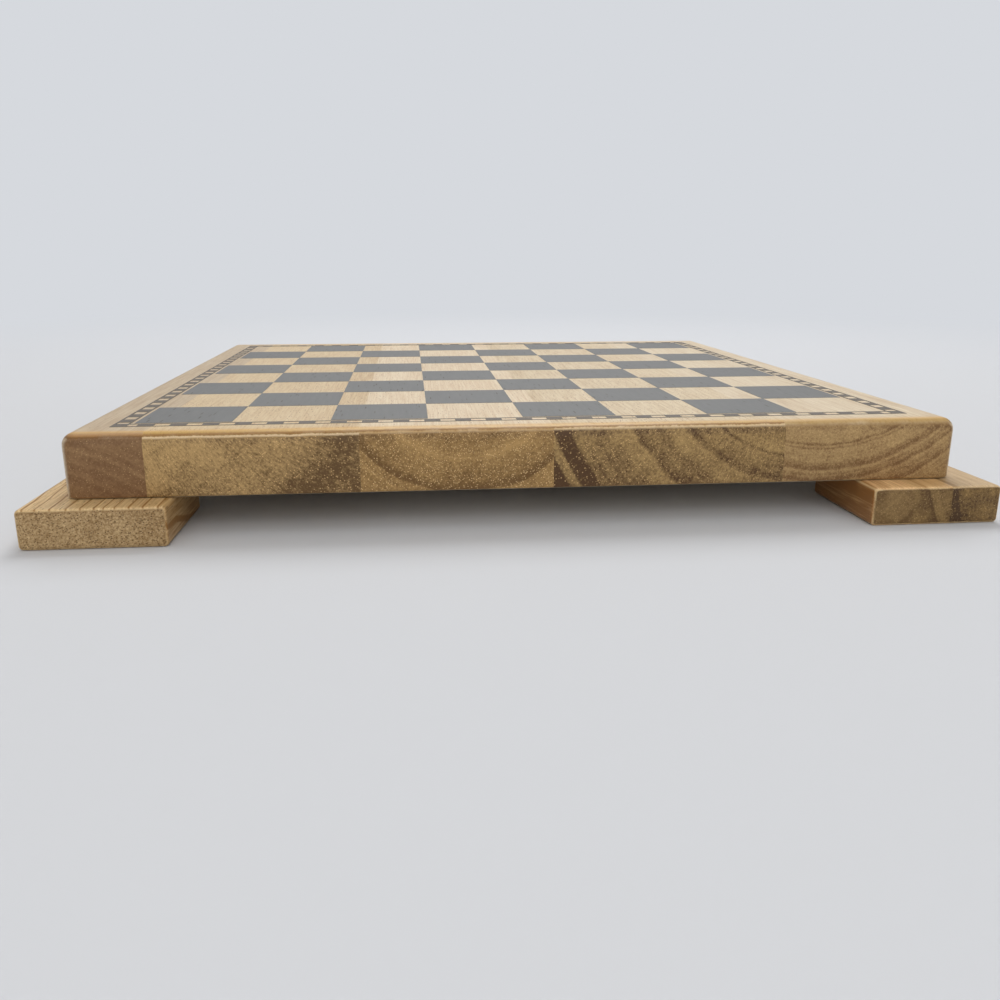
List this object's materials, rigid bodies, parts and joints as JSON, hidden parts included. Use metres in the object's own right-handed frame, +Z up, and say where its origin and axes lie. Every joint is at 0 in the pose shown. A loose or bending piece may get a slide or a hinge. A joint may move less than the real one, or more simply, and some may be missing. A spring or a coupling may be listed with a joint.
{
  "type": "checkerboard",
  "caption": "Square glued-stave wooden board with a printed checkered field and dashed border, raised on square corner feet that reach out past its edges.",
  "frame": {"origin": "middle of the footprint, on the surface that the feet stand on", "axes": "+Z up through the board, X along its front edge with +X to the viewer's right, the front edge at -Y, staves and grain along Y"},
  "size_m": [0.312, 0.312, 0.0333],
  "materials": {
    "board_wood": "satin lacquer over pale hardwood",
    "foot_wood": "satin lacquer over hardwood",
    "printed_ink": "matte screen-printed ink",
    "screw_steel": "zinc plated"
  },
  "bodies": {
    "root": {"stave_1": "board_wood", "stave_2": "board_wood", "stave_3": "board_wood", "stave_4": "board_wood", "stave_5": "board_wood", "printed_dark_squares": "printed_ink", "printed_border": "printed_ink", "foot_front_left": "foot_wood", "foot_back_left": "foot_wood", "foot_back_right": "foot_wood", "foot_front_right_inner_strip": "foot_wood", "foot_front_right_middle_strip": "foot_wood", "foot_front_right_outer_strip": "foot_wood", "foot_screws": "screw_steel"}
  },
  "joints": []
}
